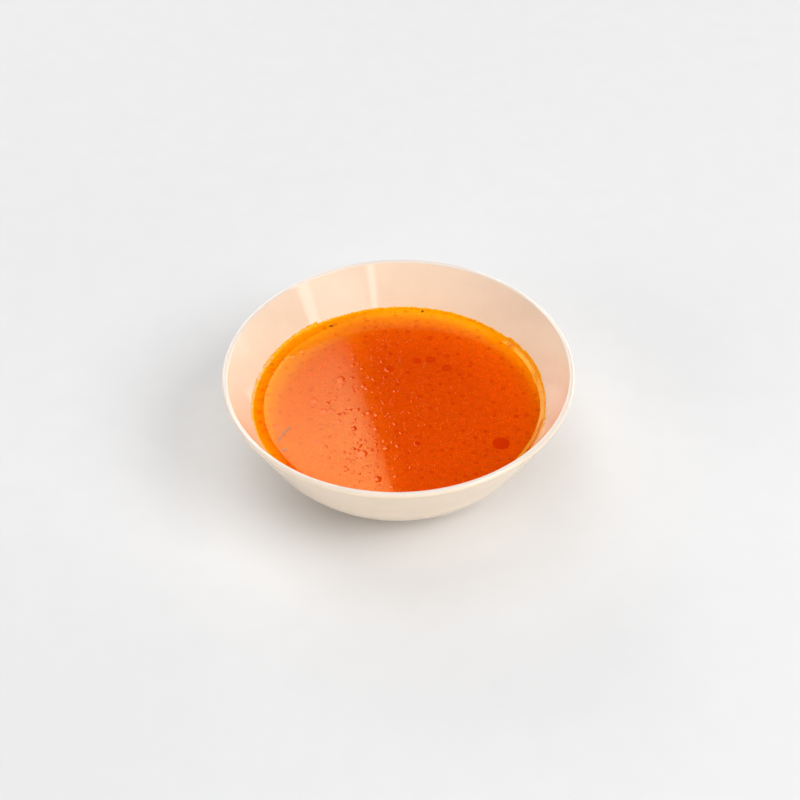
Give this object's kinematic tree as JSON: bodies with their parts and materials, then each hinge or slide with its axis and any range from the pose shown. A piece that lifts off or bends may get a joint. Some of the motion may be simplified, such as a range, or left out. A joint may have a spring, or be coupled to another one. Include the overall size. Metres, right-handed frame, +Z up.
{
  "type": "bowl of soup",
  "caption": "Round glazed stoneware bowl with a flared wall and low foot ring, filled to below the lip with a smooth red-orange spiced broth with oil on top.",
  "frame": {"origin": "centre of the foot ring, on the surface that the bowl stands on", "axes": "+Z up along the bowl's axis of revolution, +Y away from the viewer, +X to the viewer's right"},
  "size_m": [0.17, 0.17, 0.057],
  "materials": {
    "glazed_stoneware": "gloss",
    "broth": "gloss",
    "chilli_oil": "gloss",
    "dried_herb": "matte"
  },
  "bodies": {
    "root": {"bowl": "glazed_stoneware", "soup": "broth"}
  },
  "joints": []
}
